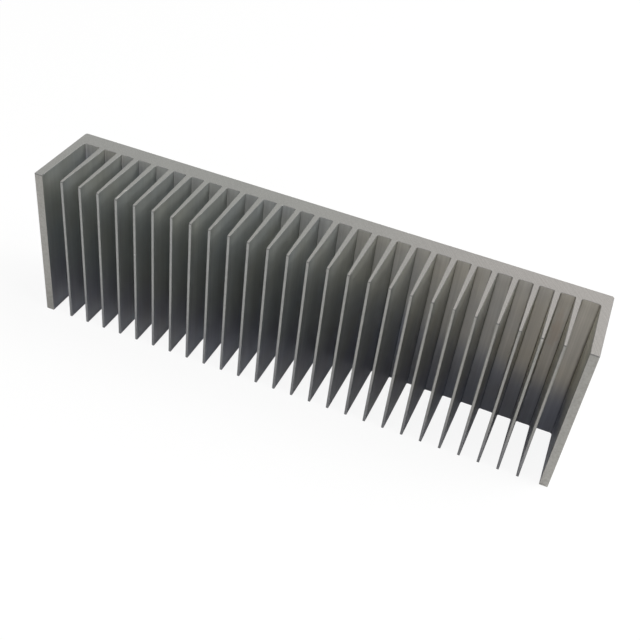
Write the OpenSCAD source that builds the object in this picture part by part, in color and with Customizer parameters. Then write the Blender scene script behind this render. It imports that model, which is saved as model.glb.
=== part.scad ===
// Extruded aluminium heat sink: one comb-shaped section, pushed through a die and sawn to length.
// The section is drawn as an extruder draws it, mounting face down and fins up. The bar is then
// stood on a sawn end: X runs across the fins, the mounting face looks along +Y, the fin tips
// look along -Y, and the die's direction is +Z. The origin is the middle of the lower sawn end.

/* [Overall size] */
// Width across the fins, from one outer face to the other
profile_w = 300; // [240:1:360]
// Depth of the section, from the mounting face to the fin tips
profile_d = 50; // [30:0.5:75]
// Length that the bar was sawn to
cut_len = 91.5; // [20:0.5:500]

/* [Base plate] */
// Thickness of the plate that carries the fins
base_t = 10; // [5:0.5:16]
// Radius on the two back corners of the plate
base_corner_r = 1.4; // [0.4:0.1:4]

/* [Thin fins] */
// Number of thin fins between the two outer fins
thin_fins = 26; // [6:1:28]
// Thickness of a thin fin at its tip
thin_tip_t = 1.4; // [0.9:0.1:2.4]
// Thickness of a thin fin where its flanks reach the base plate
thin_root_t = 3.1; // [2.6:0.1:4.4]

/* [Outer fins] */
// Thickness of an outer fin at its tip
outer_tip_t = 4.6; // [2:0.1:6]
// Thickness of an outer fin where its inner flank reaches the base plate
outer_root_t = 5.2; // [3:0.1:7]
// Width of each end channel, measured at the fin tips
end_channel_w = 10.9; // [8:0.1:16]

/* [Radii of the die] */
// Radius on both edges of every fin tip
tip_r = 0.3; // [0.1:0.05:0.4]
// Fillet between a thin fin and the channel floor
thin_fillet_r = 0.8; // [0.3:0.1:1.5]
// Fillet between an outer fin and the channel floor
outer_fillet_r = 1.5; // [0.3:0.1:2.5]

/* [Hidden] */
$fn = 64;
mill_finish = "#a3a3a0";

// Every fin rises from the channel floors to the same height.
fin_h = profile_d - base_t;

// The first thin fin stands one end channel in from the outer fin, the last one mirrors it, and
// the others share the width between them evenly.
first_fin_x = -profile_w / 2 + outer_tip_t + end_channel_w + thin_tip_t / 2;
fin_pitch = -2 * first_fin_x / (thin_fins - 1);

// Each arc is drawn this much over its radius, so that it crosses the two lines it joins at a
// hair's angle. An arc that only touched them would leave slivers where it meets them.
arc_reach = 1.001;

// What is left of a square's first quadrant outside an arc about the origin: it cuts an outer
// corner round, and turned about it fills an inner corner.
module past_arc(r) {
    difference() {
        square(2 * r);
        circle(arc_reach * r);
    }
}

// Half a fin, from a plane inside it at x = 0 out to its drafted flank. The flank runs into the
// floor, y = 0, by a fillet (none where fillet_r is 0) and into the tip by a small radius. An
// arc's centre lies its radius from both lines, and centre_run of that along the floor or tip.
module half_fin(root, tip, fillet_r) {
    draft = atan((root - tip) / fin_h);
    centre_run = tan(45 - draft / 2);
    difference() {
        polygon([[0, 0], [root, 0], [tip, fin_h], [0, fin_h]]);
        translate([tip - centre_run * tip_r, fin_h - tip_r]) past_arc(tip_r);
    }
    if (fillet_r > 0)
        translate([root + centre_run * fillet_r, fillet_r]) rotate(180) past_arc(fillet_r);
}

// A thin fin on the Y axis, drafted alike on both flanks
module thin_fin() {
    for (side = [0, 1]) mirror([side, 0]) half_fin(thin_root_t / 2, thin_tip_t / 2, thin_fillet_r);
}

// An outer fin with its square outer face on x = 0 and its drafted inner flank towards +X
module outer_fin() {
    split = outer_tip_t / 2;
    translate([split, 0]) {
        mirror([1, 0]) half_fin(split, split, 0);
        half_fin(outer_root_t - split, outer_tip_t - split, outer_fillet_r);
    }
}

// The plate under the fins: its top is the channel floors, y = 0, and its back corners are round
module base_plate() {
    corner = [profile_w / 2 - base_corner_r, base_corner_r - base_t];
    translate([-corner.x, -base_t]) square([2 * corner.x, base_t]);
    translate([-profile_w / 2, corner.y]) square([profile_w, -corner.y]);
    for (side = [-1, 1]) translate([side * corner.x, corner.y]) circle(base_corner_r);
}

// The whole section, with the channel floors on y = 0
module section() {
    base_plate();
    for (i = [0 : thin_fins - 1]) translate([first_fin_x + i * fin_pitch, 0]) thin_fin();
    for (side = [0, 1]) mirror([side, 0]) translate([-profile_w / 2, 0]) outer_fin();
}

// The sawn bar, turned so that its fins look along -Y, with the Y axis through its middle depth
module heat_sink() {
    color(mill_finish)
        translate([0, profile_d / 2 - base_t, 0])
            rotate([0, 0, 180])
                linear_extrude(cut_len) section();
}

heat_sink();
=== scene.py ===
import bpy
import bmesh
from math import cos, radians, sin
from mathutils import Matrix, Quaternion, Vector, noise


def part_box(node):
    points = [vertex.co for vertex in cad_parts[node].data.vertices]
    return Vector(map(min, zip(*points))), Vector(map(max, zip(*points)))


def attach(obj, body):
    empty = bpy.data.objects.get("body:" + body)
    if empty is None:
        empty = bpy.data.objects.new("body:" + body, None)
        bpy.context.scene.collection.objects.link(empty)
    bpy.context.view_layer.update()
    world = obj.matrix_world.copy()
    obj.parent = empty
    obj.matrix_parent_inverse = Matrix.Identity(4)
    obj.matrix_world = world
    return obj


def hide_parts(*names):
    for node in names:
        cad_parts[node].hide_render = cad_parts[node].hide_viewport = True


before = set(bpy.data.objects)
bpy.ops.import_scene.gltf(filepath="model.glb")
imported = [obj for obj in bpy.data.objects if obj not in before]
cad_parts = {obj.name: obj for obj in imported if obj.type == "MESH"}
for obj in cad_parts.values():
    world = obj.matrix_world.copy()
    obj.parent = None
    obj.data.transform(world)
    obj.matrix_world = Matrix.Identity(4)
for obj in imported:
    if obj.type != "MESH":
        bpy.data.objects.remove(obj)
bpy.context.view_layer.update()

MM = 0.001


# The extruded section. Aluminium pushed through one die leaves a base plate, 26 thin drafted
# fins and two thicker outer fins as one piece of metal. Its corners are those of the rim of the
# upper sawn end, walked once round against the clock from the middle of the mounting face.
ARC_STEP = 0.15 * MM      # shortest step kept round a radius

low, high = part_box("heat_sink")

as_packed = bmesh.new()
as_packed.from_mesh(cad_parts["heat_sink"].data)
bmesh.ops.remove_doubles(as_packed, verts=as_packed.verts, dist=0.001 * MM)
rim_edges = {
    edge for edge in as_packed.edges
    if sorted(face.normal.z > 0.5 for face in edge.link_faces) == [False, True]
}
rim = [next(iter(rim_edges)).verts[0]]
while rim_edges:
    edge = next(edge for edge in rim[-1].link_edges if edge in rim_edges)
    rim_edges.remove(edge)
    rim.append(edge.other_vert(rim[-1]))
corners = [vert.co.to_2d() for vert in rim[1:]]
as_packed.free()
back_middle = min(range(len(corners)), key=lambda i: (-corners[i].y, abs(corners[i].x)))
corners = corners[back_middle:] + corners[:back_middle]
if sum(a.cross(b) for a, b in zip(corners, corners[1:] + corners[:1])) < 0:
    corners.reverse()

tip_corners = sorted(corner.x for corner in corners if corner.y < low.y + 0.001 * MM)
fin_middles = [(a + b) / 2 for a, b in zip(tip_corners[::2], tip_corners[1::2])]
floor_y = max(corner.y for corner in corners if corner.y < high.y - 5 * MM)


# The knocks that handling has left in that metal: small dents in the fin tips, in the upper
# edge of one fin's flank and in the plate's upper back edge. Each is a spot, how far the dent
# reaches round it, and how far its middle is pushed in.
TIP_KNOCKS = [            # fin counted from -X, height in mm, reach in mm, depth in mm
    (5, 60.3, 0.9, 0.50),
    (5, 63.2, 0.5, 0.25),
    (5, 78.4, 0.6, 0.30),
    (4, 86.4, 0.6, 0.20),
    (4, 83.6, 0.8, 0.28),
    (25, 90.7, 1.0, 0.65),
    (27, 60.2, 0.6, 0.10),
    (27, 5.1, 0.8, 0.12),
]
EDGE_KNOCKS = [           # depth behind the fin tips in mm, reach in mm, depth in mm
    (2.7, 0.6, 0.15),
    (9.7, 0.9, 0.22),
    (11.6, 0.5, 0.12),
    (14.9, 0.8, 0.18),
]
KNOCK_STEPS = (-1, -0.45, 0, 0.45, 1)

knocks = [
    (Vector((fin_middles[fin], low.y, low.z + height * MM)), reach * MM, Vector((0, depth * MM, 0)))
    for fin, height, reach, depth in TIP_KNOCKS
]
for behind, reach, depth in EDGE_KNOCKS:
    flank_x = fin_middles[4] + (0.70 + 0.021 * behind) * MM
    push = Vector((-0.6, 0, -0.8)) * depth * MM
    knocks.append((Vector((flank_x, low.y + behind * MM, high.z)), reach * MM, push))
knocks.append((Vector((42 * MM, high.y, high.z)), 0.8 * MM, Vector((0, -0.25 * MM, 0))))
knocks.append((Vector((88 * MM, high.y, high.z)), 0.6 * MM, Vector((0, -0.15 * MM, 0))))


def knocked(point):
    """Where the metal at this point lies after the knocks."""
    for spot, reach, push in knocks:
        nearness = 1 - (point - spot).length_squared / reach**2
        if nearness > 0:
            point = point + push * nearness**2
    return point


# The bar sawn off that extrusion. Rings of the section's outline stand along it, with points
# and rings closer together at the knocks. The saw leaves a thin torn edge round both ends.
LONGEST_STEP = 9.0 * MM   # along the outline
RING_STEP = 13.0 * MM     # along the bar
TORN_EDGE = 0.16 * MM     # mean width of the edge that the saw tears
TORN_STRAY = 0.07 * MM    # how far that width strays
TORN_GRAIN = 1.3 * MM     # and over what length it does
CLEAR_OF_SAW = 0.3 * MM   # no other ring stands nearer to a torn edge
SHARPEST_SMOOTH = 28      # degrees: edges sharper than this stay sharp


def stations(start, end):
    """The points that split one straight stretch of the outline, its ends left out."""
    run = end - start
    count = int(run.length / LONGEST_STEP)
    shares = {step / (count + 1) for step in range(1, count + 1)}
    for spot, reach, push in knocks:
        nearest = (spot.to_2d() - start).dot(run) / run.length_squared
        if (start.lerp(end, nearest) - spot.to_2d()).length < reach:
            shares.update(nearest + step * reach / run.length for step in KNOCK_STEPS)
    return [start.lerp(end, share) for share in sorted(shares) if 0 < share < 1]


outline = [corners[0]]
for corner in corners[1:] + corners[:1]:
    if (corner - outline[-1]).length > ARC_STEP:
        outline.extend(stations(outline[-1], corner))
        outline.append(corner)
outline.pop()


def outward(i):
    """The direction that faces out of the metal at point i of the outline."""
    along = outline[(i + 1) % len(outline)] - outline[i - 1]
    return Vector((along.y, -along.x)).normalized()


heights = {low.z + RING_STEP * step for step in range(1, int((high.z - low.z) / RING_STEP) + 1)}
for spot, reach, push in knocks:
    heights.update(round(spot.z + step * reach, 4) for step in KNOCK_STEPS)
heights = sorted(z for z in heights if low.z + CLEAR_OF_SAW < z < high.z - CLEAR_OF_SAW)

bar = bmesh.new()
rings = []
for height, inset_share, torn_share in (
    [(low.z, 1, 0), (low.z, 0, 1)]
    + [(z, 0, 0) for z in heights]
    + [(high.z, 0, -1), (high.z, 1, 0)]
):
    ring = []
    for i, point in enumerate(outline):
        grain = Vector((point.x, point.y, height)) / TORN_GRAIN
        torn = TORN_EDGE + TORN_STRAY * noise.noise(grain)
        flat = point - outward(i) * torn * inset_share
        ring.append(bar.verts.new(knocked(Vector((*flat, height + torn * torn_share)))))
    rings.append(ring)

WALL, FLOOR, TIP, SAWN, TORN = range(5)


def skin_between(a, b):
    """Which finish the stretch of the outline from a to b has."""
    if max(a.y, b.y) < low.y + 0.31 * MM:
        return TIP
    in_a_channel = fin_middles[0] < min(a.x, b.x) and max(a.x, b.x) < fin_middles[-1]
    if in_a_channel and floor_y - 0.9 * MM < min(a.y, b.y) and max(a.y, b.y) < floor_y + 0.1 * MM:
        return FLOOR
    return WALL


around = bar.loops.layers.uv.new("around_and_along")
run = [0.0]
for a, b in zip(outline, outline[1:] + outline[:1]):
    run.append(run[-1] + (b - a).length)
for lower, upper in zip(rings, rings[1:]):
    at_the_saw = lower is rings[0] or upper is rings[-1]
    for i in range(len(outline)):
        j = (i + 1) % len(outline)
        face = bar.faces.new((lower[i], lower[j], upper[j], upper[i]))
        for loop, u in zip(face.loops, (run[i], run[i + 1], run[i + 1], run[i])):
            loop[around].uv = (u, loop.vert.co.z)
        face.material_index = TORN if at_the_saw else skin_between(outline[i], outline[j])
for ring, facing in ((rings[0], -1), (rings[-1], 1)):
    edges = [bar.edges.get((a, b)) for a, b in zip(ring, ring[1:] + ring[:1])]
    filled = bmesh.ops.triangle_fill(bar, edges=edges, use_beauty=True, normal=(0, 0, facing))
    for face in filled["geom"]:
        if isinstance(face, bmesh.types.BMFace):
            face.material_index = SAWN
            for loop in face.loops:
                loop[around].uv = loop.vert.co.xy

bar_mesh = bpy.data.meshes.new("sawn_bar")
bar.to_mesh(bar_mesh)
bar.free()
bar_mesh.shade_smooth()
bar_mesh.set_sharp_from_angle(angle=radians(SHARPEST_SMOOTH))
sawn_bar = bpy.data.objects.new("sawn_bar", bar_mesh)
bpy.context.collection.objects.link(sawn_bar)
weighting = sawn_bar.modifiers.new("flat faces stay flat", "WEIGHTED_NORMAL")
weighting.keep_sharp = True
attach(sawn_bar, "root")
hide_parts("heat_sink")


# The fin walls' skin, as the die leaves it: dull grey aluminium, drawn into faint lines along the
# bar where the die's bearings rubbed, under a thin clouded oxide. It reflects half as a soft
# mirror and half as a matt grey. Painted light and shade grade its colour by height, depth,
# flank and end, and painted shade makes it darkest just behind the fin tips.
def finish(name, metallic, roughness):
    """A new aluminium finish for the bar, as its node tree and its shader's inputs."""
    material = bpy.data.materials.new(name)
    material.use_nodes = True
    bar_mesh.materials.append(material)
    inputs = material.node_tree.nodes["Principled BSDF"].inputs
    inputs["Metallic"].default_value = metallic
    inputs["Roughness"].default_value = roughness
    return material.node_tree, inputs


def feed(tree, value, socket):
    """Set a socket to a number or a colour, or link it to what another node makes."""
    if isinstance(value, bpy.types.NodeSocket):
        tree.links.new(value, socket)
    elif isinstance(value, tuple):
        socket.default_value = (*value, 1)
    else:
        socket.default_value = value


def streaks(tree, per_metre, stretch, detail):
    """Noise drawn out along the bar: so many streaks a metre round the outline."""
    where = tree.nodes.new("ShaderNodeUVMap")
    where.uv_map = "around_and_along"
    drawn = tree.nodes.new("ShaderNodeVectorMath")
    drawn.operation = "MULTIPLY"
    drawn.inputs[1].default_value = (per_metre, per_metre / stretch, 1)
    pattern = tree.nodes.new("ShaderNodeTexNoise")
    pattern.noise_dimensions = "2D"
    pattern.inputs["Scale"].default_value = 1
    pattern.inputs["Detail"].default_value = detail
    tree.links.new(where.outputs["UV"], drawn.inputs[0])
    tree.links.new(drawn.outputs["Vector"], pattern.inputs["Vector"])
    return pattern.outputs["Fac"]


def clouds(tree, per_metre, detail):
    """Even noise with no direction, so many blots a metre."""
    where = tree.nodes.new("ShaderNodeTexCoord")
    pattern = tree.nodes.new("ShaderNodeTexNoise")
    pattern.inputs["Scale"].default_value = per_metre
    pattern.inputs["Detail"].default_value = detail
    tree.links.new(where.outputs["Object"], pattern.inputs["Vector"])
    return pattern.outputs["Fac"]


def place(tree, axis):
    """How far along one of the frame's axes a point of the surface lies, in metres."""
    where = tree.nodes.new("ShaderNodeTexCoord")
    apart = tree.nodes.new("ShaderNodeSeparateXYZ")
    tree.links.new(where.outputs["Object"], apart.inputs["Vector"])
    return apart.outputs[axis]


def spread(tree, noise_value, low_value=0, high_value=1):
    """Noise between 0.3 and 0.7 spread between two values."""
    mapping = tree.nodes.new("ShaderNodeMapRange")
    mapping.inputs["From Min"].default_value = 0.3
    mapping.inputs["From Max"].default_value = 0.7
    mapping.inputs["To Min"].default_value = low_value
    mapping.inputs["To Max"].default_value = high_value
    tree.links.new(noise_value, mapping.inputs["Value"])
    return mapping.outputs["Result"]


def ramp(tree, source, start, end):
    """0 where the source is at the start or before it, 1 at the end or past it."""
    mapping = tree.nodes.new("ShaderNodeMapRange")
    mapping.interpolation_type = "SMOOTHSTEP"
    mapping.inputs["From Min"].default_value = start
    mapping.inputs["From Max"].default_value = end
    tree.links.new(source, mapping.inputs["Value"])
    return mapping.outputs["Result"]


def graded(tree, share, start, end):
    """The number between two at this share."""
    mapping = tree.nodes.new("ShaderNodeMapRange")
    feed(tree, share, mapping.inputs["Value"])
    feed(tree, start, mapping.inputs["To Min"])
    feed(tree, end, mapping.inputs["To Max"])
    return mapping.outputs["Result"]


def blend(tree, share, start, end):
    """The colour between two at this share."""
    mixing = tree.nodes.new("ShaderNodeMix")
    mixing.data_type = "RGBA"
    feed(tree, share, mixing.inputs["Factor"])
    feed(tree, start, mixing.inputs["A"])
    feed(tree, end, mixing.inputs["B"])
    return mixing.outputs["Result"]


def combine(tree, operation, *values):
    """Numbers put together by one sum."""
    sum_node = tree.nodes.new("ShaderNodeMath")
    sum_node.operation = operation
    for value, socket in zip(values, sum_node.inputs):
        feed(tree, value, socket)
    return sum_node.outputs["Value"]


def times(tree, first, *others):
    """Numbers multiplied together."""
    for other in others:
        first = combine(tree, "MULTIPLY", first, other)
    return first


def scaled(tree, colour, *factors):
    """A colour times numbers or other colours that nodes make."""
    for factor in factors:
        product = tree.nodes.new("ShaderNodeVectorMath")
        product.operation = "MULTIPLY"
        tree.links.new(colour, product.inputs[0])
        tree.links.new(factor, product.inputs[1])
        colour = product.outputs["Vector"]
    return colour


def bump(tree, inputs, height, distance, strength):
    """Relief on a finish: where the height is 1 the metal stands this distance proud."""
    relief = tree.nodes.new("ShaderNodeBump")
    relief.inputs["Distance"].default_value = distance
    relief.inputs["Strength"].default_value = strength
    tree.links.new(height, relief.inputs["Height"])
    tree.links.new(relief.outputs["Normal"], inputs["Normal"])


def rightwards(tree):
    """0 left of the bar's middle, 1 at its right end."""
    return ramp(tree, place(tree, "X"), -50 * MM, 135 * MM)


def painted_tint_and_oxide_blots(tree, above_the_foot, foot, left, right):
    """A painted tint of the light at the bar's foot, and above it from left to right, faintly clouded by
    oxide blots.
    """
    above = blend(tree, rightwards(tree), left, right)
    tint = blend(tree, above_the_foot, foot, above)
    blots = spread(tree, clouds(tree, 28, 2))
    return scaled(tree, tint, blend(tree, blots, (0.97, 0.995, 1.045), (1.025, 1.005, 0.955)))


tree, inputs = finish("fin_walls", metallic=0.50, roughness=0.32)
y, z = place(tree, "Y"), place(tree, "Z")
die_lines = streaks(tree, 420, 150, 3)
die_bands = spread(tree, streaks(tree, 120, 25, 2))
metal = blend(tree, die_bands, (0.352, 0.352, 0.352), (0.392, 0.392, 0.392))
metal = blend(tree, spread(tree, die_lines, 0, 0.20), metal, (0.20, 0.20, 0.20))

above_the_foot = ramp(tree, z, low.z + 16 * MM, low.z + 44 * MM)
high_up = ramp(tree, z, low.z + 46 * MM, low.z + 78 * MM)
near_the_saw = ramp(tree, z, high.z - 18 * MM, high.z - 6 * MM)
to_the_root = ramp(tree, y, low.y - 4 * MM, floor_y)
# Painted light and shade: darker near the saw, much lighter towards the root high up, and a little
# lighter towards the root low down.
at_tip = graded(tree, near_the_saw, 1.03, 0.90)
at_root = graded(tree, near_the_saw, 1.45, 0.92)
lower_tone = graded(tree, to_the_root, 0.98, 1.14)
upper_tone = graded(tree, to_the_root, at_tip, at_root)
tone_by_height = graded(tree, high_up, lower_tone, upper_tone)

# Painted light and shade towards the right end: darker at the fin tips, lighter at the root.
right_end_at_tip = graded(tree, rightwards(tree), 1.0, 0.84)
right_end_at_root = graded(tree, rightwards(tree), 1.0, 1.14)
tone_by_side = graded(tree, to_the_root, right_end_at_tip, right_end_at_root)

# Painted shade just behind the fin tips, deeper towards the right end.
painted_tip_shade = graded(tree, rightwards(tree), 0.72, 0.42)
tone_by_tip = graded(tree, ramp(tree, y, low.y, low.y + 7 * MM), painted_tip_shade, 1.0)

# Painted light on the left flanks, strongest above the foot.
facing = tree.nodes.new("ShaderNodeSeparateXYZ")
surface = tree.nodes.new("ShaderNodeNewGeometry")
tree.links.new(surface.outputs["Normal"], facing.inputs["Vector"])
left_flank = ramp(tree, facing.outputs["X"], -0.2, -0.6)
painted_flank_light = graded(tree, above_the_foot, 1.04, 1.66)
tone_by_flank = graded(tree, left_flank, 1.0, painted_flank_light)

tone = times(tree, tone_by_height, tone_by_side, tone_by_tip, tone_by_flank)
# Painted tint of the light: bluer at the foot, greener at the left, warmer at the right end.
tint = painted_tint_and_oxide_blots(
    tree, above_the_foot, foot=(0.90, 0.91, 1.00), left=(0.87, 0.91, 0.88), right=(0.985, 0.965, 0.87)
)
feed(tree, scaled(tree, metal, tone, tint), inputs["Base Color"])
feed(tree, spread(tree, clouds(tree, 90, 3), 0.285, 0.35), inputs["Roughness"])
bump(tree, inputs, die_lines, distance=0.02 * MM, strength=0.4)


# The channel floors' skin, drawn by a narrower land of the die into finer and stronger lines.
# Painted shade darkens the fillets at both sides and the floors near the saw, and one floor near
# the right end has a faint brown stain.
STAIN_MIDDLE = (128.6 * MM, 69 * MM)      # along X and Z
STAIN_REACH = (3 * MM, 14 * MM)           # from its middle

tree, inputs = finish("channel_floors", metallic=0.42, roughness=0.34)
x, y, z = (place(tree, axis) for axis in "XYZ")
die_lines = streaks(tree, 1000, 70, 2)
die_bands = spread(tree, streaks(tree, 260, 80, 2))
metal = blend(tree, die_bands, (0.365, 0.365, 0.365), (0.41, 0.41, 0.41))
metal = blend(tree, spread(tree, die_lines, 0, 0.32), metal, (0.25, 0.25, 0.25))

# Painted light and shade: lighter at the left end, darker near the saw and in the fillets.
tone_by_side = graded(tree, ramp(tree, x, -130 * MM, -20 * MM), 1.12, 0.965)
near_the_saw = ramp(tree, z, high.z - 12 * MM, high.z - 3 * MM)
fillet_shade_mask = ramp(tree, y, floor_y - 0.05 * MM, floor_y - 0.40 * MM)
tone = times(
    tree,
    tone_by_side,
    graded(tree, near_the_saw, 1.0, 0.85),
    graded(tree, fillet_shade_mask, 1.0, 0.70),
)
# Painted shade and tint: darker and bluer below a line that falls towards the right end, lighter above
# it, and warmer at the right end.
lower_to_the_right = combine(tree, "MULTIPLY_ADD", x, 0.2, z)
above_the_foot = ramp(tree, lower_to_the_right, low.z + 47 * MM, low.z + 68 * MM)
tint = painted_tint_and_oxide_blots(
    tree, above_the_foot, foot=(0.78, 0.79, 0.885), left=(1.13, 1.125, 1.085), right=(1.145, 1.075, 0.98)
)
metal = scaled(tree, metal, tone, tint)

ragged = spread(tree, clouds(tree, 500, 3), -0.5, 0.5)
for along, middle, reach in zip((x, z), STAIN_MIDDLE, STAIN_REACH):
    off = combine(tree, "DIVIDE", combine(tree, "SUBTRACT", along, middle), reach)
    ragged = combine(tree, "MULTIPLY_ADD", off, off, ragged)
stained = times(tree, ramp(tree, ragged, 1.0, 0.1), 0.35)
feed(tree, blend(tree, stained, metal, (0.38, 0.29, 0.22)), inputs["Base Color"])
feed(tree, spread(tree, clouds(tree, 120, 3), 0.32, 0.37), inputs["Roughness"])
bump(tree, inputs, die_lines, distance=0.02 * MM, strength=0.3)


# The fin tips' skin, scuffed by handling into a fine mottle, with painted shade that makes it
# darker and bluer towards the foot and darker towards the right end. The outer fins' broad tips
# keep a lighter, warm tint, a painted warm light. At the top of each tip a dark ragged band is
# painted as the shade along the sawn edge.
EDGE_SHADE_STRAY = 0.15 * MM
OUTER_FIN_INNER_X = 144.3 * MM

tree, inputs = finish("fin_tips", metallic=0.45, roughness=0.34)
x, z = place(tree, "X"), place(tree, "Z")
scuffed = blend(tree, spread(tree, clouds(tree, 900, 3)), (0.26, 0.26, 0.255), (0.33, 0.33, 0.325))
# Painted shade: darker and bluer towards the foot, darker towards the right end.
above_the_foot = ramp(tree, z, low.z + 5 * MM, low.z + 45 * MM)
left_tint = blend(tree, above_the_foot, (0.71, 0.72, 0.76), (0.93, 0.94, 0.93))
right_tint = blend(tree, above_the_foot, (0.60, 0.60, 0.64), (0.84, 0.82, 0.78))
thin_fin_tint = blend(tree, rightwards(tree), left_tint, right_tint)
# Painted warm light on the outer fins' tips.
from_the_middle = combine(tree, "ABSOLUTE", x)
outer_fin = ramp(tree, from_the_middle, OUTER_FIN_INNER_X - 0.3 * MM, OUTER_FIN_INNER_X + 0.3 * MM)
tint = blend(tree, outer_fin, thin_fin_tint, (0.975, 0.95, 0.905))
# Painted shade: a dark ragged band along the top of each tip, under the sawn edge.
edge_shade_line = spread(tree, clouds(tree, 700, 2), -EDGE_SHADE_STRAY, EDGE_SHADE_STRAY)
edge_shade_line = combine(tree, "ADD", z, edge_shade_line)
edge_shade_band = times(tree, ramp(tree, edge_shade_line, high.z - 0.9 * MM, high.z - 0.5 * MM), 0.75)
feed(tree, blend(tree, edge_shade_band, scaled(tree, scuffed, tint), (0.10, 0.10, 0.10)), inputs["Base Color"])
bump(tree, inputs, streaks(tree, 1500, 20, 2), distance=0.02 * MM, strength=0.5)


# The sawn ends' skin: bare grainy metal with no oxide, crossed by the curved marks of a round
# saw's teeth, which came in from the left and bit deeper towards the right.
BLADE_RADIUS = 175 * MM
BLADE_MIDDLE_Y = -87 * MM     # of the blade's middle, below the cut section
TOOTH_PITCH = 0.65 * MM       # from one mark to the next

tree, inputs = finish("sawn_ends", metallic=0.45, roughness=0.34)
x, y = place(tree, "X"), place(tree, "Y")
above_blade = combine(tree, "SUBTRACT", y, BLADE_MIDDLE_Y)
across = combine(tree, "SUBTRACT", BLADE_RADIUS**2, times(tree, above_blade, above_blade))
blade_edge_x = combine(tree, "SQRT", across)
tooth = combine(tree, "DIVIDE", combine(tree, "SUBTRACT", x, blade_edge_x), TOOTH_PITCH)
tooth_marks = tree.nodes.new("ShaderNodeTexNoise")
tooth_marks.noise_dimensions = "1D"
tooth_marks.inputs["Scale"].default_value = 1
tooth_marks.inputs["Detail"].default_value = 1
feed(tree, tooth, tooth_marks.inputs["W"])
end_to_end = ramp(tree, x, -40 * MM, 130 * MM)
bite = times(tree, spread(tree, tooth_marks.outputs["Fac"]), graded(tree, end_to_end, 0.35, 1.0))
grain = spread(tree, clouds(tree, 1500, 2))
patches = spread(tree, clouds(tree, 60, 3))
metal = blend(tree, patches, (0.258, 0.258, 0.249), (0.278, 0.278, 0.268))
metal = blend(tree, times(tree, grain, 0.46), metal, (0.40, 0.40, 0.385))
metal = blend(tree, times(tree, bite, 0.50), metal, (0.19, 0.19, 0.18))
# Painted light: the sawn ends are lighter and warmer towards the right end.
tint = blend(tree, end_to_end, (0.875, 0.875, 0.86), (1.12, 1.065, 1.055))
feed(tree, scaled(tree, metal, tint), inputs["Base Color"])
bump(tree, inputs, combine(tree, "MULTIPLY_ADD", grain, 0.4, bite), distance=0.03 * MM, strength=0.7)


# The torn edges round both sawn ends: rough metal that the saw's teeth have folded over,
# painted dark as the shade along the edges.
tree, inputs = finish("torn_edges", metallic=0.45, roughness=0.45)
edge_shade_mottle = spread(tree, clouds(tree, 900, 2))
feed(tree, blend(tree, edge_shade_mottle, (0.10, 0.10, 0.10), (0.20, 0.20, 0.195)), inputs["Base Color"])


# The plain floor that the bar stands on: a wide sheet of white paper, which shows white but keeps
# the bar's shadow. Where it lies under the bar and close round it, the metal mirrors it as it is
# lit there and not as white.
FLOOR_SIZE = 12
WHITE_SHARE = 0.90            # how far the paper shows white where it is looked at
SHADED_BELOW = 3 * MM         # from the bar's outline: nearer than this, the metal sees no white
CLEAR_ABOVE = 32 * MM         # and further than this, it sees it all

bpy.ops.mesh.primitive_plane_add(size=FLOOR_SIZE, location=(0, 0, low.z))
floor = bpy.context.object
floor.name = "floor"
paper = bpy.data.materials.new("pale_floor")
paper.use_nodes = True
floor.data.materials.append(paper)
tree = paper.node_tree
paper_shader = tree.nodes["Principled BSDF"]
paper_shader.inputs["Base Color"].default_value = (0.95, 0.95, 0.95, 1)
paper_shader.inputs["Roughness"].default_value = 1
paper_shader.inputs["Specular IOR Level"].default_value = 0


def looked_at(tree):
    """1 for a ray that looks, straight, by a reflection or through glass; 0 for one that lights."""
    ray = tree.nodes.new("ShaderNodeLightPath").outputs
    looks = combine(tree, "MAXIMUM", ray["Is Camera Ray"], ray["Is Glossy Ray"])
    return combine(tree, "MAXIMUM", looks, ray["Is Transmission Ray"])


def past(tree, axis, limit):
    """How far beyond a limit, on either side of the middle, a point lies along an axis."""
    out = combine(tree, "SUBTRACT", combine(tree, "ABSOLUTE", place(tree, axis)), limit)
    return combine(tree, "MAXIMUM", out, 0)


white = tree.nodes.new("ShaderNodeEmission")
white.inputs["Color"].default_value = (1, 1, 1, 1)
white.inputs["Strength"].default_value = 1
beside, before = past(tree, "X", high.x), past(tree, "Y", high.y)
squares = combine(tree, "ADD", times(tree, beside, beside), times(tree, before, before))
from_the_bar = combine(tree, "SQRT", squares)
clear_of_bar = ramp(tree, from_the_bar, SHADED_BELOW, CLEAR_ABOVE)
straight = tree.nodes.new("ShaderNodeLightPath").outputs["Is Camera Ray"]
seen_white = combine(tree, "MAXIMUM", clear_of_bar, straight)
paper_seen = tree.nodes.new("ShaderNodeMixShader")
feed(tree, times(tree, looked_at(tree), seen_white, WHITE_SHARE), paper_seen.inputs["Fac"])
feed(tree, paper_shader.outputs["BSDF"], paper_seen.inputs[1])
feed(tree, white.outputs["Emission"], paper_seen.inputs[2])
feed(tree, paper_seen.outputs["Shader"], tree.nodes["Material Output"].inputs["Surface"])


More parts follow.
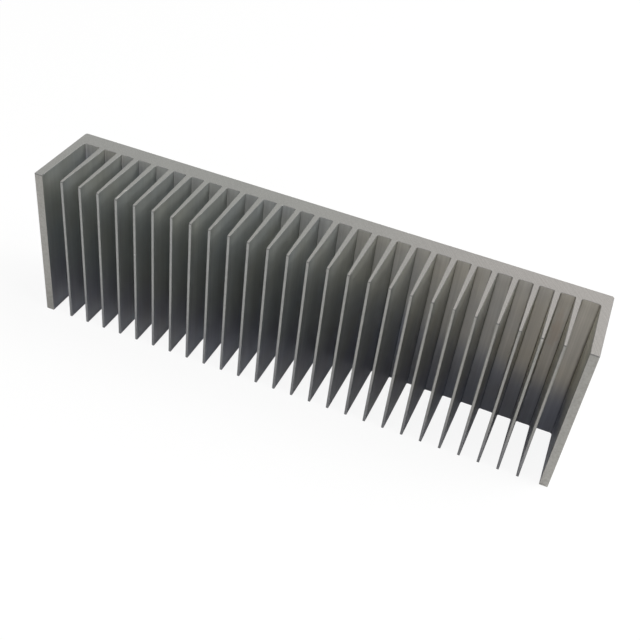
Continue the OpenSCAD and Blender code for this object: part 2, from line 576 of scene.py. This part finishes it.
# The studio round it: a pale room that shows white and lights matt surfaces a little, two wide
# soft lamps at the right, behind the bar and beside it, a low one in front, and a weak one from
# the left.
room = bpy.data.worlds.new("pale_room")
bpy.context.scene.world = room
room.use_nodes = True
tree = room.node_tree
room_walls = blend(tree, looked_at(tree), (0.10, 0.10, 0.10), (1.0, 1.0, 1.0))
feed(tree, room_walls, tree.nodes["Background"].inputs["Color"])

LAMP_SIZE = 2.0
LAMP_AWAY = 2.5


def lamp(name, bearing, elevation, power, colour):
    """A wide round lamp aimed at the bar. Its bearing runs from +Y, behind the bar, to +X."""
    light = bpy.data.lights.new(name, "AREA")
    light.shape = "DISK"
    light.size = LAMP_SIZE
    light.energy = power
    light.color = colour
    stand = bpy.data.objects.new(name, light)
    bpy.context.collection.objects.link(stand)
    turn, rise = radians(bearing), radians(elevation)
    away = Vector((sin(turn) * cos(rise), cos(turn) * cos(rise), sin(rise)))
    stand.location = Vector((0, 0, (low.z + high.z) / 2)) + LAMP_AWAY * away
    stand.rotation_euler = away.to_track_quat("Z", "Y").to_euler()


lamp("lamp_behind_right", 52, 46, 38, (1.0, 1.0, 0.98))
lamp("lamp_at_right", 88, 46, 42, (1.0, 1.0, 0.98))
lamp("lamp_in_front", 180, 25, 22, (0.98, 0.99, 1.0))
lamp("lamp_front_left", 225, 50, 14, (1.0, 1.0, 1.0))


# The camera, on its stand to the right of the fins' front and well above them. It is tilted a
# little about its own axis, as when it is held by hand.
CAMERA_BEARING = 16.214   # degrees from -Y towards +X
CAMERA_RISE = 39.530      # degrees above the horizon
CAMERA_TILT = 8.209       # degrees about its own axis
CAMERA_AWAY = 500.90 * MM
LOOKED_AT = Vector((11.52, -10.18, 45.75)) * MM

camera = bpy.data.objects.new("camera", bpy.data.cameras.new("camera"))
bpy.context.collection.objects.link(camera)
camera.data.sensor_width = 36
camera.data.lens = 53.18
camera.data.clip_start = 0.01
turn, rise = radians(CAMERA_BEARING), radians(CAMERA_RISE)
away = Vector((sin(turn) * cos(rise), -cos(turn) * cos(rise), sin(rise)))
camera.location = LOOKED_AT + CAMERA_AWAY * away
level = away.to_track_quat("Z", "Y")
camera.rotation_euler = (level @ Quaternion((0, 0, 1), radians(CAMERA_TILT))).to_euler()
bpy.context.scene.camera = camera
bpy.context.scene.view_settings.view_transform = "Standard"
